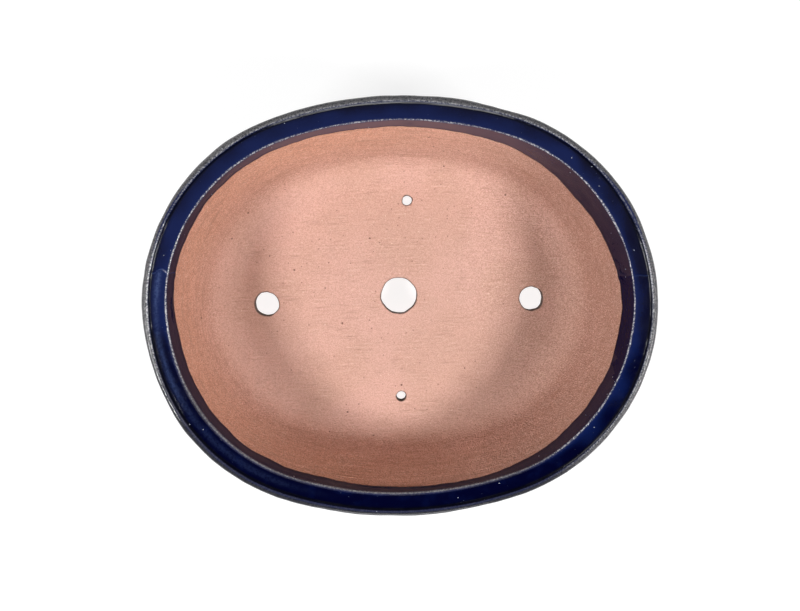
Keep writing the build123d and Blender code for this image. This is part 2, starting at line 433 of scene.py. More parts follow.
joint_key = ((inner_face(LIP_JOINT) + outer_face(LIP_JOINT)) / 2, LIP_JOINT + KEY_HEIGHT)
joint_inside = (inner_face(LIP_JOINT), LIP_JOINT)
joint_outside = (outer_face(LIP_JOINT), LIP_JOINT)
wall_section = section_of(
    skin_run(0, at_joint_inside, 1.0 * MM),
    hidden_run(joint_inside, joint_key, joint_outside),
    skin_run(at_joint_outside, at_lower_wall, 3 * MM, at_joint_outside - 9 * MM, at_lower_wall),
    skin_run(at_lower_wall, skin_walked[-1], 1.2 * MM),
    hidden_run((FLOOR_EDGE_BOTTOM, FLOOR_BOTTOM), (FLOOR_EDGE_TOP, FLOOR_TOP)),
)
lip_section = section_of(
    skin_run(at_joint_inside, at_inner_ridge - 4 * MM, 1.0 * MM),
    skin_run(at_inner_ridge - 4 * MM, at_joint_outside, 0.9 * MM,
             at_inner_ridge - 4 * MM, at_joint_outside + 9 * MM),
    hidden_run(joint_outside, joint_key, joint_inside),
)


# --- Feet ---


def foot_outline(past_middle):
    """Height of a foot's lower edge at those angles from its middle: a cloud's scalloped outline."""
    face_reach = END_RADIUS + FOOT_TOE
    from_end = (FOOT_HALF_SPAN - np.abs(past_middle)) * face_reach
    scallop = np.sqrt(np.clip(FOOT_SCALLOP**2 - np.clip(from_end, 0, None) ** 2, 0, None))
    across = np.clip(np.abs(past_middle) * face_reach / FOOT_ARCH_HALF_WIDTH, 0, 1)
    arch = FOOT_ARCH_HEIGHT * np.sqrt(1 - across**2)
    return np.maximum(scallop, arch)


def foot_loop(lift):
    """A foot's section, its lower edge lifted off the ground by that much."""
    share = lift / FLOOR_BOTTOM
    toe = FOOT_TOE + 3 * MM * lift / FOOT_TOP
    heel = FOOT_HEEL + (FOOT_HEEL_TOP - FOOT_HEEL) * share
    corners = [
        (toe, lift), (FOOT_SHOULDER, FOOT_TOP), (FOOT_SHOULDER, FOOT_TOP + FOOT_BEDDING),
        (outer_curve_centre[0] + 5 * MM, FLOOR_BOTTOM + 1.2 * MM),
        (outer_curve_centre[0], FLOOR_BOTTOM + FOOT_BEDDING),
        (FOOT_HEEL_TOP - 1.3 * MM, FLOOR_BOTTOM + FOOT_BEDDING),
        (FOOT_HEEL_TOP - 0.1 * MM, FLOOR_BOTTOM - 1.3 * MM), (heel, lift), (toe, lift),
    ]
    loop = chain(*[line(a, b, FOOT_SPACING) for a, b in zip(corners, corners[1:])])
    start = len(loop) // 3
    return np.concatenate([loop[start:], loop[1:start + 1]])


def build_foot(name, side, end):
    """A cloud foot: its section, run through the angle it spans, with its ends and edges rounded."""
    middle = math.atan2(side * math.sin(FOOT_ANGLE), end * math.cos(FOOT_ANGLE))
    heart = (FOOT_TOE + FOOT_HEEL) / 2
    reach = END_RADIUS + FOOT_TOE
    rows = 96
    steps = 80  # along the foot between its rounded ends
    tucks = np.linspace(0, math.pi / 2, 6)
    end_angles = FOOT_HALF_SPAN - FOOT_ROUNDING * (1 - np.sin(tucks)) / reach
    between = np.linspace(-end_angles[0], end_angles[0], steps + 1)[1:-1]
    past = np.concatenate([-end_angles[::-1], between, end_angles])
    end_tuck = FOOT_ROUNDING * (1 - np.cos(tucks))
    tuck = np.concatenate([end_tuck[::-1], np.zeros(steps - 1), end_tuck])
    stations = []
    for angle, pulled_in in zip(past, tuck):
        loop = soften(foot_loop(float(foot_outline(angle))), 0.55 * MM)
        loop = at_distance(loop, np.linspace(0, walked_along(loop)[-1], rows + 1)[:-1])
        loop[:, 0] = heart + (loop[:, 0] - heart) * (1 - pulled_in / (7 * MM))
        loop[:, 1] += pulled_in * np.clip(1 - loop[:, 1] / FLOOR_BOTTOM, 0, 1)
        stations.append(loop)
    stations = np.array(stations)
    slip = np.clip((stations[..., 1] - FLOOR_BOTTOM + 1.4 * MM) / (1.4 * MM), 0, 1) ** 2
    theta = middle + past[:, None] * (1 + slip * 1.1 * MM / (FOOT_HALF_SPAN * reach))
    points = place(theta, stations[..., 0], stations[..., 1])
    worn = np.stack([ripple(points, 4 * MM, seed) for seed in (31, 32, 33)], -1) * 0.05 * MM
    worn[..., 2] = np.abs(worn[..., 2])
    points = points + worn
    outward = [face[::-1] for face in capped_grid(*theta.shape)]
    return make_piece(name, points.reshape(-1, 3), outward)


# --- Floor ---

MOUTH = 1.8 * MM  # how far round a hole its worn edge reaches
FLOOR_SPACING = 1.35 * MM
FLOOR_EDGE_SPACING = 1.4 * MM
HOLE_SPACING = 0.9 * MM
MOUTH_PROFILE = [  # (wider than the hole, above the face) round a mouth, in millimetres, from outside in
    (1.25, 0.05), (0.85, 0.09), (0.55, 0.05), (0.3, -0.07), (0.12, -0.24), (0.03, -0.5), (0, -0.9),
]


def hole_ring(hole, wider, count):
    """Points round a hole, a little uneven, that much wider than it."""
    x, y, radius = hole
    circle = unit_circle(count)
    uneven = 0.12 * MM * ripple(circle * radius + (x, y, 0), 3.5 * MM, 41)
    return (x, y, 0) + circle * (radius + wider + uneven[:, None])


def inside_loop(points, loop):
    """Which points lie inside the loop: a line from them crosses it an odd number of times."""
    start, end = loop, np.roll(loop, -1, 0)
    across, up = points[:, :1], points[:, 1:]
    spans = (start[:, 1] > up) != (end[:, 1] > up)
    share = (up - start[:, 1]) / (end[:, 1] - start[:, 1] + 1e-15)
    crossed = spans & (across < start[:, 0] + share * (end[:, 0] - start[:, 0]))
    return crossed.sum(1) % 2 == 1


def floor_grid():
    """Points of a triangular grid over the floor, clear of its edge and its holes."""
    half_x, half_y = HALF_LENGTH + FLOOR_EDGE_TOP, HALF_WIDTH + FLOOR_EDGE_TOP
    row_step = FLOOR_SPACING * math.sqrt(3) / 2
    rows = []
    for row in range(-int(half_y / row_step), int(half_y / row_step) + 1):
        xs = np.arange(-half_x, half_x, FLOOR_SPACING) + (row % 2) * FLOOR_SPACING / 2
        rows.append(np.stack([xs, np.full(len(xs), row * row_step), np.zeros(len(xs))], 1))
    points = np.concatenate(rows)
    theta = np.linspace(0, 2 * math.pi, 1440, endpoint=False)
    edge = place(theta, FLOOR_EDGE_TOP - 0.8 * MM, 0)
    turns = np.arctan2(points[:, 1], points[:, 0]) % (2 * math.pi)
    edge_turns = np.arctan2(edge[:, 1], edge[:, 0]) % (2 * math.pi)
    order = np.argsort(edge_turns)
    edge_reach = np.interp(turns, edge_turns[order], np.hypot(edge[order, 0], edge[order, 1]),
                           period=2 * math.pi)
    keep = np.hypot(points[:, 0], points[:, 1]) < edge_reach
    for x, y, radius in HOLES:
        keep &= np.hypot(points[:, 0] - x, points[:, 1] - y) > radius + MOUTH + 0.7 * MM
    return points[keep]


def floor_triangles(loops, starts):
    """(flat points, triangles) between the first loop and the others, whose points come first."""
    edges = [(start + i, start + (i + 1) % len(loop))
             for start, loop in zip(starts, loops) for i in range(len(loop))]
    flat = [Vector(point[:2]) for point in np.concatenate(loops + [floor_grid()])]
    made, _, triangles, *_ = delaunay_2d_cdt(flat, edges, [], 0, 1e-9)
    flat = np.array(made)
    triangles = np.array([face for face in triangles if len(face) == 3])
    centres = flat[triangles].mean(1)
    solid = np.ones(len(triangles), bool)
    for loop in loops[1:]:
        solid &= ~inside_loop(centres, loop[:, :2])
    crossing = np.cross(flat[triangles[:, 1]] - flat[triangles[:, 0]],
                        flat[triangles[:, 2]] - flat[triangles[:, 0]])
    triangles[crossing < 0] = triangles[crossing < 0][:, ::-1]
    return flat, triangles[solid]


def hole_levels(top, bottom):
    """(millimetres wider than the hole, height) of each ring down a hole, between its two mouths."""
    middle = (FLOOR_TOP + FLOOR_BOTTOM) / 2
    levels = [(wider, top + above * MM) for wider, above in MOUTH_PROFILE]
    levels += [(0.0, middle + step * MM) for step in (1.6, 0, -1.6)]
    return levels + [(wider * 0.8, bottom - above * 1.3 * MM) for wider, above in MOUTH_PROFILE[::-1]]


def build_floor():
    """The floor slab: both faces share one triangulation; worn rings with painted shade line each hole."""
    round_edge = even_directions(0, 2 * math.pi, FLOOR_EDGE_SPACING)[:-1]
    loops = [place(round_edge, FLOOR_EDGE_TOP, 0)]
    for hole in HOLES:
        around = 2 * math.pi * (hole[2] + MOUTH)
        loops.append(hole_ring(hole, MOUTH, max(28, int(around / HOLE_SPACING))))
    starts = np.cumsum([0] + [len(loop) for loop in loops])
    flat, triangles = floor_triangles(loops, starts)
    count = len(flat)
    top = np.concatenate([flat, np.full((count, 1), FLOOR_TOP)], 1)
    bottom = np.concatenate([flat, np.full((count, 1), FLOOR_BOTTOM)], 1)
    top[:, 2] += relief(top)
    bottom[:, 2] -= relief(bottom)
    blocks = [top, bottom]
    shades = [np.zeros(2 * count)]
    faces = triangles.tolist() + (triangles[:, ::-1] + count).tolist()

    def add_ring(points, shade=0.0):
        start = sum(len(block) for block in blocks)
        blocks.append(points)
        shades.append(np.full(len(points), shade))
        return np.arange(start, start + len(points))

    def bridge(upper, lower, outward):
        for i in range(len(upper)):
            j = (i + 1) % len(upper)
            quad = [upper[i], lower[i], lower[j], upper[j]]
            faces.append([int(k) for k in (quad if outward else quad[::-1])])

    under = place(round_edge, FLOOR_EDGE_BOTTOM, FLOOR_BOTTOM)
    under[:, 2] -= relief(under)
    under_ring = add_ring(under)
    rim_ring = np.arange(len(round_edge))
    bridge(rim_ring, under_ring, True)
    bridge(under_ring, rim_ring + count, True)

    for start, loop, hole in zip(starts[1:], loops[1:], HOLES):
        ring = above_ring = np.arange(start, start + len(loop))
        for wider, height in hole_levels(top[ring, 2], bottom[ring, 2]):
            circle = hole_ring(hole, wider * MM, len(loop))
            circle[:, 2] = height
            drag = 0.05 * MM * ripple(circle * (1, 1, 0.4), 1.5 * MM, 42)
            circle[:, :2] += (circle[:, :2] - hole[:2]) / hole[2] * drag[:, None]
            # painted shade on each ring: full down the hole's wall, none on the face round its mouth
            next_ring = add_ring(circle, 1 - float(smooth_step(0.1, 0.7, wider)))
            bridge(above_ring, next_ring, False)
            above_ring = next_ring
        bridge(above_ring, ring + count, False)
    # the hole attribute carries the painted shade down the holes
    return make_piece("floor_slab_clay", np.concatenate(blocks), faces, {"hole": np.concatenate(shades)})


# --- Glaze ---

GLAZE_SPACING = 0.95 * MM
INNER_ROWS = 12
LAST_ROWS = 15
BACK_ROWS = 16
BACK_DEPTH = 0.2 * MM  # how far the coat's back lies in the clay
BARE_EDGE = 3.1 * MM  # height of a foot's bare lower edge
RUN_DOWN = 8.6 * MM  # from the inner ridge to the coat's inner line
BROAD_RUNS = [  # (direction, width in degrees, how much lower) of the inner line's broad waves
    (40, 32, 12.6 * MM), (335, 40, 5 * MM), (200, 20, 2.6 * MM), (277, 16, -3.6 * MM),
]
LIP_STOPS = [  # (distance along the skin, how many rows lead there)
    (at_inner_ridge - 0.6 * MM, 3), (at_inner_ridge + 0.6 * MM, 8), (at_channel - 0.9 * MM, 8),
    (at_channel + 0.7 * MM, 6), (at_crest - 0.8 * MM, 3), (at_crest + 0.9 * MM, 11),
    (at_band_top, 6), (at_band_bottom - 1 * MM, 6),
    (at_band_bottom + 1.4 * MM, 4), (at_joint_outside + 2 * MM, 6), (at_lower_wall, 10),
]
THICKNESSES = [  # (distance along the skin, thickness in millimetres)
    (at_joint_inside, 0.36), (at_inner_ridge - 2.5 * MM, 0.30), (at_inner_ridge - 0.8 * MM, 0.24),
    (at_inner_ridge, 0.15), (at_inner_ridge + 0.8 * MM, 0.26), (at_inner_ridge + 3 * MM, 0.36),
    (at_channel - 1 * MM, 0.46), (at_channel, 0.46), (at_channel + 1 * MM, 0.32), (at_crest, 0.22),
    (at_band_top, 0.34), (at_band_bottom - 1 * MM, 0.48), (at_band_bottom, 0.56),
    (at_joint_outside, 0.8), (at_joint_outside + 6 * MM, 0.4), (at_free_line, 0.56),
]

foot_face = soften(
    np.concatenate([
        on_skin(np.linspace(at_lower_wall, at_foot_top, 60))[:, :2],
        line((FOOT_SHOULDER, FOOT_TOP), (FOOT_TOE + 0.1 * MM, 0.5 * MM)),
    ]),
    0.9 * MM,
)


def past_foot_middle(theta):
    """Angle from the middle of the nearest foot."""
    folded = np.abs(np.arctan2(np.sin(theta), np.abs(np.cos(theta))))
    return folded - FOOT_ANGLE


def seam_mark(theta, out):
    """Distance past the mark that the joint leaves in the glaze: on the left it bulges in the channel."""
    bulge = 1.9 * MM * np.clip(1 - ((out + 8.3 * MM) / (2.8 * MM)) ** 2, 0, 1) * (np.cos(theta) < 0)
    waver = 0.25 * MM * ripple(np.stack([out, out * 0, out * 0 + 1], -1), 1.6 * MM, 61)
    return past_seam(theta, out) - bulge - waver


def seam_relief(theta, out, walked):
    """The joint between the lips, as the glaze shows it: a groove, a swelling and a slight step."""
    past = seam_mark(theta, out)
    groove = -0.10 * MM * bump_at(past, 0, 0.4 * MM)
    swelling = 0.06 * MM * bump_at(past, 1.1 * MM, 0.7 * MM)
    step = -0.06 * MM * smooth_step(0.4 * MM, -0.4 * MM, past) * np.exp(-np.abs(past) / (9 * MM))
    strength = np.where(np.cos(theta) < 0, 1, 0.6) * (1 - 0.8 * smooth_step(at_crest, at_band_top, walked))
    in_reach = smooth_step(at_inner_ridge - 14 * MM, at_inner_ridge - 8 * MM, walked) \
        * (1 - smooth_step(at_band_bottom, at_band_bottom + 6 * MM, walked))
    return (groove + swelling + step) * strength * in_reach


def front_share(theta):
    return smooth_step(0.35, 0.8, np.cos(theta - math.radians(250)))


def right_share(theta):
    return smooth_step(0.7, 0.95, np.cos(theta))


def channel_share(walked):
    past_ridge = smooth_step(at_inner_ridge, at_inner_ridge + 1 * MM, walked)
    return past_ridge * (1 - smooth_step(at_crest - 1 * MM, at_crest, walked))


def inner_line(theta, ring):
    """How far along the skin the coat's wavy inner line is."""
    run_down = sum(lower * bump_round(theta, middle, width) for middle, width, lower in BROAD_RUNS)
    run_down += RUN_DOWN
    run_down += 0.35 * MM * ripple(ring, 14 * MM, 51) + 0.16 * MM * ripple(ring, 4 * MM, 52)
    run_down += 0.5 * MM * bump_at(past_seam(theta, INNER_RIDGE), -1 * MM, 1.5 * MM)
    return at_inner_ridge - run_down


def lip_rows(first):
    """Distances along the skin, from the first to the lower wall, that keep to the lip's ridges."""
    rows = [first]
    for stop, steps in LIP_STOPS:
        rows.extend(np.linspace(rows[-1], stop, steps + 1)[1:])
    return rows[1:]


def last_rows(theta, ring, share):
    """(section, distances along the skin, length) of the coat's run from the lower wall to its end.

    It ends at the line outside, or near the bottom of a foot where there is one.
    """
    past = past_foot_middle(theta)
    on_foot = 1 - smooth_step(FOOT_HALF_SPAN + math.radians(0.3), FOOT_HALF_SPAN + math.radians(2.6),
                              np.abs(past))
    free_line = at_free_line + 0.5 * MM * ripple(ring, 12 * MM, 53) + 0.25 * MM * ripple(ring, 4 * MM, 54)
    free_length = free_line - at_lower_wall
    free_rows = at_lower_wall + free_length[:, None] * share
    free_section = on_skin(free_rows)
    wiped = np.maximum(BARE_EDGE, foot_outline(past) + 1.3 * MM) + 0.25 * MM * ripple(ring, 5 * MM, 55)
    foot_length = np.interp(-wiped, -foot_face[:, 1], walked_along(foot_face))
    foot_section = along_path(foot_face, foot_length[:, None] * share)
    section = free_section + (foot_section - free_section) * on_foot[:, None, None]
    return section, free_rows, free_length * (1 - on_foot) + foot_length * on_foot


def rounded(past_edge, reach):
    """The rounding of the coat's edge: 0 at the edge, and 1 from that reach on."""
    return np.sqrt(1 - (1 - np.clip(past_edge / reach, 0, 1)) ** 2)


def coat_thickness(theta, points, walked, past_inner, past_outer):
    """It runs off the ridges, and pools in the channel, under the lip and at its lower edge."""
    body = np.interp(walked, *zip(*[(where, level * MM) for where, level in THICKNESSES]))
    body = body * (1 + 0.3 * front_share(theta) * channel_share(walked))
    body = body * (1 + 0.12 * ripple(points, 9 * MM, 56))
    body = body + 0.05 * MM * ripple(points * (1, 1, 0.12), 5 * MM, 58) * (walked > at_band_bottom)
    bead = 0.12 * MM * bump_at(past_inner, 1.3 * MM, 0.8 * MM)
    bead += 0.3 * MM * bump_at(past_outer, 1.8 * MM, 1.3 * MM)
    return (body + bead) * rounded(past_inner, 1.1 * MM) * rounded(past_outer, 1.5 * MM)


def reflected_haze_share(theta, out, up):
    """The milky line in the channel at the left: strongest near the joint, fading to the front.
    It is a painted soft reflection.
    """
    turned = np.degrees(theta)
    line_share = bump_at(out + 7.9 * MM, -warp(theta, up), 1.2 * MM)
    in_front = smooth_step(0, 1.5 * MM, -seam_mark(theta, out))
    fading = 0.5 - 0.3 * smooth_step(203, 216, turned) - 0.2 * smooth_step(240, 262, turned)
    near_joint = 1 + 0.9 * bump_at(turned, 172, 5)
    return line_share * in_front * fading * near_joint * (turned > 150) * (turned < 270)


def coat_traits(theta, out, up, walked, past_inner, thickness):
    """What the glaze's material needs to know of each point."""
    front, in_channel = front_share(theta), channel_share(walked)
    mark = bump_at(seam_mark(theta, out), 0, 0.3 * MM) * (up > 60 * MM) * (walked < at_channel)
    corners = bump_round(theta, 30, 14) + bump_round(theta, 150, 12)
    # the ridges' pale breaks carry painted glints: stronger at the left, weaker at the front and the
    # corners
    left = bump_round(theta, 190, 24)
    inner_ridge = (1 + 0.3 * left) * bump_at(walked, at_inner_ridge, (0.28 + 0.2 * front) * MM)
    crest = bump_at(walked, at_crest - 0.3 * MM, 0.3 * MM)
    crest = crest * (0.65 - 0.5 * front - 0.4 * corners + 0.8 * left)
    crest_grit = (1 - 0.7 * front) * bump_at(walked, at_crest + 0.8 * MM, 1.2 * MM)
    past_crest = walked - at_crest + (0.7 - 0.4 * front - corners) * MM
    return {
        # in the channel the colour goes deeper at the front and the right than the thickness alone gives
        "depth": thickness / MM * (1 + (0.7 * front + 0.4 * right_share(theta)) * in_channel),
        "pooled": bump_at(walked, at_channel + 0.5 * MM, 1.2 * MM),
        "inside": 1 - smooth_step(at_inner_ridge - 1.2 * MM, at_inner_ridge + 0.2 * MM, walked),
        "inner_edge": bump_at(past_inner, 0.5 * MM, 1.2 * MM),
        "ridge": np.maximum(inner_ridge, crest),
        "grit": np.maximum(bump_at(walked, at_inner_ridge, 0.9 * MM), crest_grit),
        "outer_edge": smooth_step(0, 0.8 * MM, past_crest)
        * (1 - smooth_step(at_band_bottom - 3 * MM, at_band_bottom, walked)),
        "front": np.broadcast_to(front, walked.shape),
        "rear": np.broadcast_to(bump_round(theta, 95, 32), walked.shape),
        "reflected_haze": reflected_haze_share(theta, out, up) * in_channel,
        "seam": mark * np.where(np.cos(theta) < 0, 1, 0.4) * np.where(walked < at_inner_ridge, 0.4, 1),
    }


def coat_strengths(theta, ring, ridge_row, rows):
    """Each face's material: 0 from the inner ridge outwards, 1 inside it, 2 where that is dullest.
    1 and 2 reflect less, as painted shade in the reflection.
    """
    row = np.arange(rows)
    inside = np.broadcast_to(row < ridge_row, (len(theta), rows))
    in_front = past_seam(theta, INNER_RIDGE) < -0.5 * MM
    dull_from = -16 - 14 * row / ridge_row + 3 * ripple(ring, 4 * MM, 57)[:, None]
    turned = (np.degrees(theta) + 180) % 360 - 180
    dull = inside & in_front & (turned > dull_from) & (turned < 12)
    return inside.astype(np.int32) + dull


def build_glaze():
    """The coat: its front stands off the clay by the glaze's thickness, and its back lies in the clay."""
    theta = even_directions(0, 2 * math.pi, GLAZE_SPACING,
                            lambda turn: 1.4 * bump_at(past_seam(turn, -8 * MM), 0, 5 * MM))[:-1]
    ring = place(theta, 0, RIM_TOP)
    start = inner_line(theta, ring)
    above_start = at_inner_ridge - 1.6 * MM
    first_share = np.linspace(0, 1, INNER_ROWS) ** 1.5
    first = start[:, None] + (above_start - start)[:, None] * first_share
    over_lip = lip_rows(above_start)
    rows = np.concatenate([first, np.broadcast_to(over_lip, (len(theta), len(over_lip)))], 1)
    last_share = 1 - (1 - np.linspace(0, 1, LAST_ROWS + 1)[1:]) ** 1.4
    last_section, last_walked, last_length = last_rows(theta, ring, last_share)
    section = np.concatenate([on_skin(rows), last_section], 1)
    section[..., 2:] /= np.linalg.norm(section[..., 2:], axis=-1, keepdims=True)
    walked = np.concatenate([rows, last_walked], 1)
    past_inner = walked - start[:, None]
    past_outer = np.ones_like(walked)
    past_outer[:, -LAST_ROWS:] = last_length[:, None] * (1 - last_share)

    theta = theta[:, None]
    out, up = section[..., 0], section[..., 1]
    on_clay = place(theta, out, up)
    thickness = coat_thickness(theta, on_clay, walked, past_inner, past_outer)
    directions = in_space(theta, section)
    raised = relief(on_clay) + thickness + seam_relief(theta, out, walked)
    face = on_clay + directions * raised[..., None]
    back_rows = np.unique(np.linspace(section.shape[1] - 1, 0, BACK_ROWS).astype(int))[::-1]
    back = (on_clay - directions * BACK_DEPTH)[:, back_rows]
    points = np.concatenate([face, back], 1)

    traits = coat_traits(theta, out, up, walked, past_inner, thickness)
    traits = {key: np.concatenate([value, value[:, back_rows]], 1) for key, value in traits.items()}
    faces = grid_faces(*points.shape[:2], True).tolist()
    piece = make_piece("glaze_coat_glass", points.reshape(-1, 3), faces, traits)
    ridge_row = INNER_ROWS + int(np.searchsorted(over_lip, at_inner_ridge - 0.2 * MM))
    strengths = coat_strengths(theta, ring, ridge_row, points.shape[1])
    piece.data.polygons.foreach_set("material_index", strengths.ravel())
    return piece


# --- Materials ---

CLAY_PINK = (0.725, 0.438, 0.366)
CLAY_TAN = (0.655, 0.398, 0.318)
CLAY_ORANGE = (0.765, 0.358, 0.222)
RIGHT_WALL_SHADE_BROWN = (0.50, 0.275, 0.21)
PALE_CLAY = (0.86, 0.60, 0.50)
PALE_SAND = (0.84, 0.58, 0.48)
PALE_GRIT = (0.88, 0.68, 0.55)
GRAIN_BROWN = (0.38, 0.19, 0.14)
SAND_BROWN = (0.42, 0.215, 0.15)
SCRATCH_BROWN = (0.40, 0.22, 0.155)
GROOVE_BROWN = (0.42, 0.22, 0.15)
SPECK_BROWN = (0.24, 0.10, 0.07)
PIT_BROWN = (0.15, 0.065, 0.045)
HOLE_PAINTED_SHADE = (0.05, 0.035, 0.028)
COBALT = (0.0040, 0.0105, 0.066)
NAVY = (0.0007, 0.0011, 0.015)
NEARLY_BLACK = (0.0010, 0.0011, 0.005)
MILKY_BLUE = (0.045, 0.070, 0.180)
THIN_PLUM = (0.002, 0.001, 0.024)
PALE_PLUM = (0.100, 0.062, 0.085)
DARK_PLUM = (0.004, 0.001, 0.012)
EDGE_DARK = (0.010, 0.011, 0.018)
EDGE_REFLECTION_GREY = (0.150, 0.146, 0.152)
RIDGE_SHEEN_GREY = (0.105, 0.095, 0.100)
BREAK_GLINT_GREY = (0.72, 0.72, 0.73)
BUBBLE_GREY = (0.50, 0.54, 0.62)
DUST_BLUE = (0.30, 0.36, 0.55)


class Graph:
    """A node tree, with a short way to add each kind of node."""

    def __init__(self, tree, place):
        self.tree = tree
        self.place = tree.nodes.new("ShaderNodeTexCoord").outputs[place]

    def feed(self, socket, value):
        if isinstance(value, bpy.types.NodeSocket):
            self.tree.links.new(value, socket)
        else:
            socket.default_value = value

    def add(self, kind, inputs, **settings):
        node = self.tree.nodes.new(kind)
        for key, value in settings.items():
            setattr(node, key, value)
        for key, value in inputs.items():
            self.feed(node.inputs[key], value)
        return node

    def coordinates(self):
        return self.add("ShaderNodeSeparateXYZ", {"Vector": self.place}).outputs

    def stretched(self, x, y, z):
        """The place on the object, stretched by those factors."""
        return self.add("ShaderNodeMapping", {"Vector": self.place, "Scale": (x, y, z)}).outputs[0]

    def noise(self, size, detail=2.0, roughness=0.5, place=None, distortion=0.0):
        """Fractal noise from 0 to 1, with features of that size."""
        inputs = {"Vector": place or self.place, "Scale": 1 / size, "Detail": detail,
                  "Roughness": roughness, "Distortion": distortion}
        return self.add("ShaderNodeTexNoise", inputs).outputs["Fac"]

    def specks(self, size, share, radius):
        """Round specks: cells of that size, of which that share holds one of that radius in cells."""
        cells = self.add("ShaderNodeTexVoronoi", {"Vector": self.place, "Scale": 1 / size})
        pick = self.add("ShaderNodeSeparateColor", {"Color": cells.outputs["Color"]}).outputs["Red"]
        inside = self.ramp(cells.outputs["Distance"], radius, 1, radius * 1.6, 0)
        return self.times(inside, self.math("LESS_THAN", pick, share))

    def attribute(self, name):
        return self.add("ShaderNodeAttribute", {}, attribute_name=name).outputs["Fac"]

    def ramp(self, value, low, at_low, high, at_high):
        inputs = {"Value": value, "From Min": low, "From Max": high, "To Min": at_low, "To Max": at_high}
        return self.add("ShaderNodeMapRange", inputs, interpolation_type="SMOOTHSTEP").outputs[0]

    def math(self, operation, first, second):
        return self.add("ShaderNodeMath", {0: first, 1: second}, operation=operation).outputs[0]

    def times(self, first, second):
        return self.math("MULTIPLY", first, second)

    def plus(self, first, second):
        return self.math("ADD", first, second)

    def mix(self, share, first, second):
        """Two colours mixed; a colour is an (r, g, b) or a socket."""
        inputs = {0: share}
        for index, colour in ((6, first), (7, second)):
            inputs[index] = (*colour, 1) if isinstance(colour, tuple) else colour
        return self.add("ShaderNodeMix", inputs, data_type="RGBA").outputs[2]

    def layered(self, colour, layers):
        """A colour under (share, colour) layers, each over the one before."""
        for share, layer in layers:
            colour = self.mix(share, colour, layer)
        return colour

    def bump(self, height, distance, under=None):
        inputs = {"Height": height, "Distance": distance, "Strength": 1.0}
        if under is not None:
            inputs["Normal"] = under
        return self.add("ShaderNodeBump", inputs).outputs[0]


class Surface(Graph):
    """A material's node tree, which ends in one principled shader."""

    def __init__(self, name):
        self.material = bpy.data.materials.new(name)
        self.material.use_nodes = True
        self.material.node_tree.nodes.clear()
        super().__init__(self.material.node_tree, "Object")
        self.shader = self.add("ShaderNodeBsdfPrincipled", {})
        self.add("ShaderNodeOutputMaterial", {"Surface": self.shader.outputs["BSDF"]})

    def set(self, **sockets):
        for name, value in sockets.items():
            self.feed(self.shader.inputs[name.replace("_", " ")], value)


def clay_material():
    """Fired terracotta: sandy and pitted, more orange up the wall, coarser at the right, browner there as
    painted shade.
    """
    clay = Surface("clay")
    along, _, height = clay.coordinates()
    grain = clay.noise(0.6 * MM, 1, 0.7)
    sand = clay.noise(1.3 * MM, 2, 0.7)
    drag = clay.noise(1.0 * MM, 3, 0.65, clay.stretched(0.10, 1, 1), 0.4)
    drag_patches = clay.ramp(clay.noise(16 * MM, 2, 0.6), 0.42, 0.15, 0.60, 1)
    rings = clay.noise(2.4 * MM, 3, 0.7, clay.stretched(0.12, 0.12, 1), 0.3)
    on_wall = clay.ramp(height, FLOOR_TOP + 3 * MM, 0, FLOOR_TOP + 14 * MM, 1)
    to_right = clay.ramp(along, 0.2 * HALF_LENGTH, 0, 0.6 * HALF_LENGTH, 1)
    coarse = clay.plus(clay.plus(on_wall, clay.times(to_right, 0.9)), 1.0)
    # more orange up the wall and towards the left
    orange_up_wall = clay.times(clay.ramp(height, 8 * MM, 0, 66 * MM, 0.85),
                         clay.ramp(along, -0.3 * HALF_LENGTH, 1, 0.5 * HALF_LENGTH, 0.45))
    dark_specks = clay.specks(3.3 * MM, 0.3, 0.08)
    dark_pits = clay.specks(8 * MM, 0.4, 0.05)
    pale_grains = clay.specks(3.7 * MM, 0.3, 0.07)

    body = clay.mix(clay.ramp(clay.noise(30 * MM, 3), 0.35, 0, 0.65, 1), CLAY_PINK, CLAY_TAN)
    colour = clay.layered(body, [
        (orange_up_wall, CLAY_ORANGE),
        # painted shade: browner up the wall at the right
        (clay.times(clay.times(to_right, on_wall), 0.5), RIGHT_WALL_SHADE_BROWN),
        (clay.times(clay.ramp(grain, 0.28, 0.36, 0.6, 0), coarse), GRAIN_BROWN),
        (clay.times(clay.ramp(grain, 0.5, 0, 0.75, 0.3), coarse), PALE_CLAY),
        (clay.times(clay.ramp(sand, 0.35, 0.16, 0.55, 0), coarse), SAND_BROWN),
        (clay.ramp(sand, 0.52, 0, 0.75, 0.18), PALE_SAND),
        (clay.times(clay.ramp(drag, 0.52, 0, 0.72, 0.5), drag_patches), SCRATCH_BROWN),
        (clay.times(clay.ramp(drag, 0.26, 0.5, 0.45, 0), drag_patches), PALE_CLAY),
        (clay.times(clay.ramp(rings, 0.28, 0.5, 0.52, 0), on_wall), GROOVE_BROWN),
        (clay.times(dark_specks, 0.65), SPECK_BROWN),
        (clay.times(dark_pits, 0.85), PIT_BROWN),
        (clay.times(pale_grains, 0.6), PALE_GRIT),
        # painted shade down each hole's wall
        (clay.times(clay.attribute("hole"), 0.9), HOLE_PAINTED_SHADE),
    ])

    surface = clay.bump(clay.times(grain, coarse), 0.18 * MM)
    surface = clay.bump(clay.times(sand, coarse), 0.15 * MM, surface)
    surface = clay.bump(clay.times(drag, drag_patches), 0.25 * MM, surface)
    surface = clay.bump(clay.times(rings, on_wall), 0.35 * MM, surface)
    surface = clay.bump(clay.plus(dark_specks, dark_pits), -0.12 * MM, surface)
    clay.set(Base_Color=colour, Roughness=clay.ramp(grain, 0.3, 0.95, 0.7, 0.82), Normal=surface)
    clay.set(Specular_IOR_Level=0.3)
    return clay.material


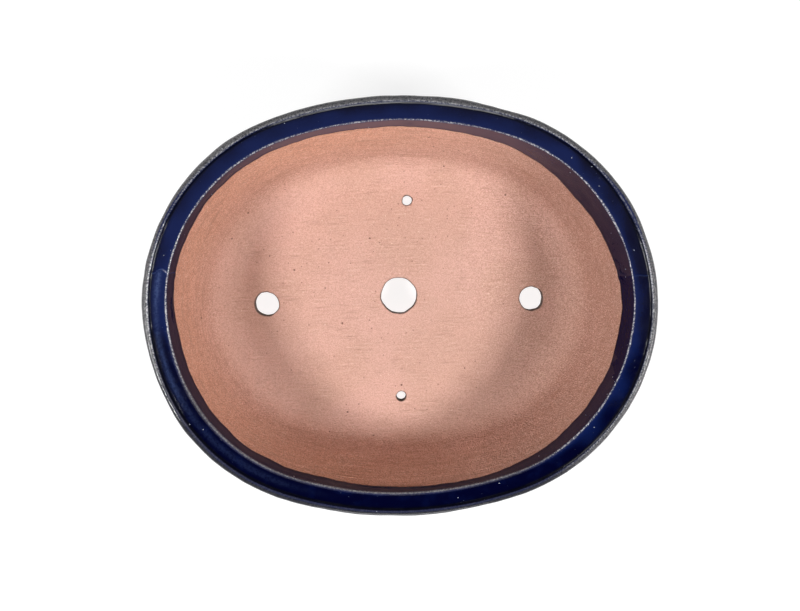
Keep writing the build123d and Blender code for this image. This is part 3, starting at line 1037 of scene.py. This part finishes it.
def glaze_material(name, ior):
    """Cobalt glaze: nearly black where it pools, blue where it is level, pale where it runs thin.
    Painted highlights lie on its ridges, and painted reflections on its outer edge and in its channel.
    """
    glaze = Surface(name)
    front, rear = glaze.attribute("front"), glaze.attribute("rear")
    ridge, pooled = glaze.attribute("ridge"), glaze.attribute("pooled")
    outer_edge = glaze.attribute("outer_edge")
    clouding = glaze.noise(7 * MM, 3, 0.6)
    mottle = glaze.noise(1.1 * MM, 3, 0.6)
    fine_peel = glaze.noise(0.8 * MM, 2, 0.6)
    sparkle = glaze.noise(0.8 * MM, 2, 0.7)
    bubbles = glaze.specks(3.4 * MM, 0.16, 0.055)
    dust = glaze.specks(1.3 * MM, 0.08, 0.1)

    uneven = glaze.times(glaze.math("SUBTRACT", mottle, 0.5), 0.08)
    depth = glaze.plus(glaze.attribute("depth"), uneven)
    within = glaze.layered(THIN_PLUM, [(rear, PALE_PLUM), (glaze.attribute("inner_edge"), DARK_PLUM)])
    reflected_haze = glaze.times(glaze.attribute("reflected_haze"), glaze.ramp(mottle, 0.3, 0.3, 0.7, 1.1))
    # painted reflections and glints are weaker at the front
    less_in_front = glaze.ramp(front, 0, 1, 1, 0.25)
    # painted reflection on the outer edge: mottled grey
    edge_reflection_speckle = glaze.times(glaze.ramp(fine_peel, 0.25, 0.15, 0.7, 1), less_in_front)
    # glaze breaking pale over the ridges, with painted glints, less at the front and the rear
    breaks_and_glints = glaze.times(ridge, glaze.ramp(sparkle, 0.45, 0.12, 0.6, 1))
    break_and_glint_share = glaze.times(less_in_front, glaze.ramp(rear, 0, 1, 1, 0.55))
    colour = glaze.layered(COBALT, [
        (glaze.ramp(depth, 0.27, 0, 0.60, 1), NAVY),
        (glaze.ramp(clouding, 0.45, 0, 0.75, 0.2), COBALT),
        (glaze.attribute("inside"), within),
        # painted soft reflection along the channel at the left
        (reflected_haze, MILKY_BLUE),
        (pooled, NEARLY_BLACK),
        # painted reflection of the bright room on the outer edge
        (outer_edge, glaze.mix(edge_reflection_speckle, EDGE_DARK, EDGE_REFLECTION_GREY)),
        # grey ridges at the front: glaze breaking, with a painted soft highlight
        (glaze.times(glaze.times(ridge, front), 0.9), RIDGE_SHEEN_GREY),
        # painted glints in the pale breaks over the ridges
        (glaze.times(breaks_and_glints, break_and_glint_share), BREAK_GLINT_GREY),
        (glaze.times(glaze.attribute("seam"), 0.6), MILKY_BLUE),
        (glaze.times(bubbles, 0.75), BUBBLE_GREY),
        (glaze.times(dust, 0.15), DUST_BLUE),
    ])

    peel = glaze.bump(glaze.noise(1.5 * MM, 1, 0.4), 0.05 * MM)
    grit = glaze.times(glaze.noise(0.7 * MM, 1, 0.5), glaze.attribute("grit"))
    surface = glaze.bump(glaze.plus(bubbles, dust), 0.05 * MM, glaze.bump(grit, 0.16 * MM, peel))
    dull_edge = glaze.times(outer_edge, glaze.ramp(front, 0, 0.15, 1, 0.01))
    dulled = glaze.plus(dull_edge, glaze.times(pooled, 0.10))
    roughness = glaze.plus(glaze.ramp(mottle, 0.3, 0.05, 0.7, 0.10), dulled)
    glaze.set(Base_Color=colour, Roughness=roughness, Normal=surface, IOR=ior)
    return glaze.material


CLAY = clay_material()
GLAZE = glaze_material("glaze", 1.45)
# copies that reflect less stand in for the dark reflections inside the rim: painted shade
GLAZE_DIMMED = glaze_material("glaze_dimmed", 1.25)  # inside the rim it is thin and duller
GLAZE_DIMMEST = glaze_material("glaze_dimmest", 1.14)  # and dullest at the right, in front of the joint

# --- Pieces ---


def finish_piece(piece, node, slot_name, *materials):
    for material in materials:
        piece.data.materials.append(material)
    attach(piece, "root")
    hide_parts(node)


for kind, section in (("wall", wall_section), ("lip", lip_section)):
    for side_name, first_end, last_end in (("rear", 1, -1), ("front", -1, 1)):
        node = f"{kind}_{side_name}"
        finish_piece(strip(node + "_clay", section, first_end, last_end), node, "clay", CLAY)
for side, side_name in ((-1, "front"), (1, "rear")):
    for end, end_name in ((-1, "left"), (1, "right")):
        node = f"foot_{side_name}_{end_name}"
        finish_piece(build_foot(node + "_clay", side, end), node, "clay", CLAY)
finish_piece(build_floor(), "floor_slab", "clay", CLAY)
finish_piece(build_glaze(), "glaze_coat", "glaze", GLAZE, GLAZE_DIMMED, GLAZE_DIMMEST)

# --- Table, lights and camera ---

TABLE_RADIUS = 3.0
TABLE_SIDES = 96
TABLE_GREY = (0.22, 0.22, 0.22, 1)
TABLE_GLOW = 0.845
WALL_GLOW = 0.4
CEILING_GLOW = 0.2
LAMP_TARGET = Vector((0, 0, 0.05))
LAMP_DISTANCE = 1.0
CAMERA_PLACE = Vector((-0.0028, 0.0524, 0.745))
CAMERA_TARGET = Vector((0.0002, 0.0014, RIM_TOP))
CAMERA_ROLL = math.radians(-1.13)
CAMERA_LENS = 61.1
CAMERA_SENSOR = 36


def build_table():
    ring = unit_circle(TABLE_SIDES) * TABLE_RADIUS
    mesh = bpy.data.meshes.new("table")
    mesh.from_pydata(ring.tolist(), [], [list(range(TABLE_SIDES))])
    surface = Surface("table")
    surface.set(Base_Color=TABLE_GREY, Roughness=0.7, Emission_Color=(1, 1, 1, 1))
    surface.set(Emission_Strength=TABLE_GLOW)
    mesh.materials.append(surface.material)
    table = add_object("table", mesh)


def softbox(name, azimuth, elevation, width, height, power):
    """A soft light on the pot from that direction, in degrees: 0 is the right and 90 the rear."""
    turned, raised = math.radians(azimuth), math.radians(elevation)
    away = Vector((math.cos(turned) * math.cos(raised), math.sin(turned) * math.cos(raised),
                   math.sin(raised)))
    light = bpy.data.lights.new(name, "AREA")
    light.shape = "RECTANGLE"
    light.size, light.size_y = width, height
    light.energy = power
    lamp = add_object(name, light)
    lamp.location = LAMP_TARGET + away * LAMP_DISTANCE
    lamp.rotation_euler = (-away).to_track_quat("-Z", "Y").to_euler()
    lamp.visible_camera = False


def studio_world():
    """Pale walls round the table, brightest at the rear and dark at the front, and a dimmer ceiling."""
    world = bpy.data.worlds.new("studio")
    world.use_nodes = True
    sky = Graph(world.node_tree, "Generated")
    _, y, z = sky.coordinates()
    low = sky.math("POWER", sky.math("SUBTRACT", 1.0, sky.math("ABSOLUTE", z, 0.0)), 6.0)
    from_front = sky.times(sky.plus(y, 1.0), 0.5)
    walls = sky.times(low, sky.math("POWER", from_front, 1.2))
    ceiling = sky.times(sky.ramp(y, -0.25, 0, 0.0, 1), sky.ramp(z, 0.55, 0, 0.8, 1))
    glow = sky.plus(sky.times(walls, WALL_GLOW), sky.times(ceiling, CEILING_GLOW))
    sky.feed(world.node_tree.nodes["Background"].inputs["Color"], glow)
    bpy.context.scene.world = world


def build_camera():
    camera = bpy.data.cameras.new("camera")
    camera.lens = CAMERA_LENS
    camera.sensor_width = CAMERA_SENSOR
    viewer = add_object("camera", camera)
    backwards = (CAMERA_PLACE - CAMERA_TARGET).normalized()
    to_rear = Vector((-math.sin(CAMERA_ROLL), math.cos(CAMERA_ROLL), 0))
    rightwards = to_rear.cross(backwards).normalized()
    turned = Matrix((rightwards, backwards.cross(rightwards), backwards)).transposed()
    viewer.matrix_world = Matrix.Translation(CAMERA_PLACE) @ turned.to_4x4()
    bpy.context.scene.camera = viewer


build_table()
softbox("softbox_left", 198, 46, 0.24, 0.20, 7.25)
softbox("softbox_right", -19, 44, 0.20, 0.18, 7.65)
softbox("fill_front", 270, 12, 0.45, 0.30, 2.2)
softbox("fill_rear", 135, 12, 0.45, 0.30, 0.8)
studio_world()
build_camera()
bpy.context.scene.view_settings.view_transform = "Standard"
